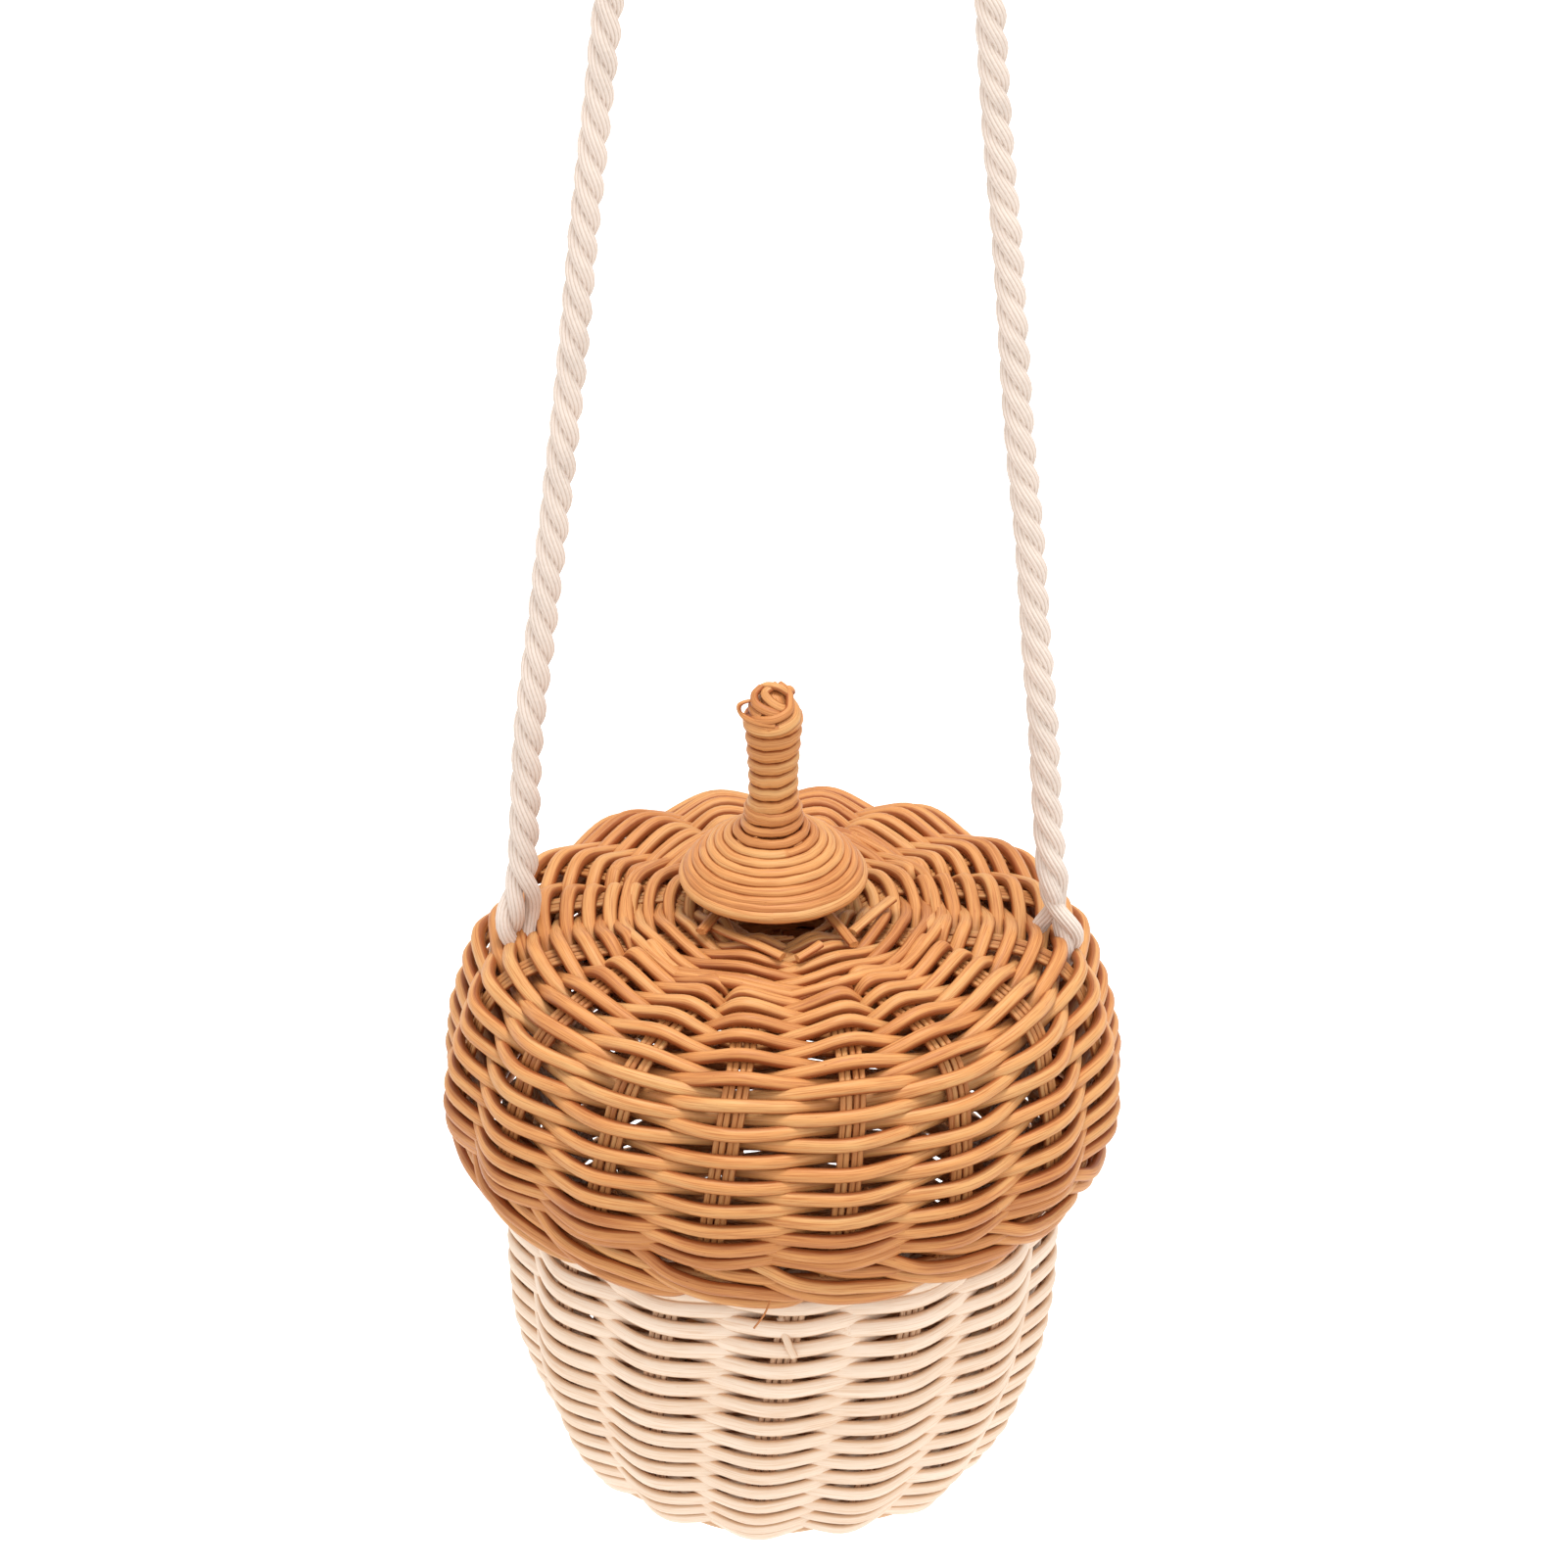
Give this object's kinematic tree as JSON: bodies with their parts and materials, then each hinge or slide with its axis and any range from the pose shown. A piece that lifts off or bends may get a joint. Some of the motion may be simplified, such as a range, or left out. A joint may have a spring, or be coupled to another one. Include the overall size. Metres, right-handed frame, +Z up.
{
  "type": "woven rattan bag",
  "caption": "Acorn-shaped woven rattan bag with a domed lid, a wound stem and a rope strap that the lid slides along.",
  "frame": {"origin": "the top of the strap's loop, on the strap's centre line, where the bag hangs; it is on the bag's own axis", "axes": "+Z up along the bag's axis, -Y the front, +X to the right as seen from the front; the strap lies in the XZ plane"},
  "size_m": [0.1616, 0.1615, 0.5637],
  "materials": {
    "cream_rattan": "peeled reed, satin, unstained",
    "caramel_rattan": "stained round reed, satin",
    "cotton_rope": "three-strand twisted cotton, matt"
  },
  "bodies": {
    "base": {"base_floor": "cream_rattan", "base_wall": "cream_rattan", "base_rim": "cream_rattan", "base_stake_01": "cream_rattan", "base_stake_02": "cream_rattan", "base_stake_03": "cream_rattan", "base_stake_04": "cream_rattan", "base_stake_05": "cream_rattan", "base_stake_06": "cream_rattan", "base_stake_07": "cream_rattan", "base_stake_08": "cream_rattan", "base_stake_09": "cream_rattan", "base_stake_10": "cream_rattan", "base_stake_11": "cream_rattan", "base_stake_12": "cream_rattan", "base_stake_13": "cream_rattan", "strap": "cotton_rope", "strap_knot_left": "cotton_rope", "strap_knot_right": "cotton_rope", "lashing_left": "cotton_rope", "lashing_right": "cotton_rope"},
    "lid": {"lid_wall": "caramel_rattan", "lid_border": "caramel_rattan", "lid_crown": "caramel_rattan", "lid_stake_01": "caramel_rattan", "lid_stake_02": "caramel_rattan", "lid_stake_03": "caramel_rattan", "lid_stake_04": "caramel_rattan", "lid_stake_05": "caramel_rattan", "lid_stake_06": "caramel_rattan", "lid_stake_07": "caramel_rattan", "lid_stake_08": "caramel_rattan", "lid_stake_09": "caramel_rattan", "lid_stake_10": "caramel_rattan", "lid_stake_11": "caramel_rattan", "lid_stake_12": "caramel_rattan", "lid_stake_13": "caramel_rattan", "lid_stake_14": "caramel_rattan", "lid_stake_15": "caramel_rattan", "lid_stake_16": "caramel_rattan", "stem_core": "caramel_rattan", "stem_disc": "caramel_rattan", "stem_winding": "caramel_rattan", "stem_knot": "caramel_rattan"}
  },
  "joints": [
    {"name": "lid_slide", "type": "slide", "parent": "base", "child": "lid", "axis": [0, 0, 1], "range_m": [0, 0.08]}
  ]
}
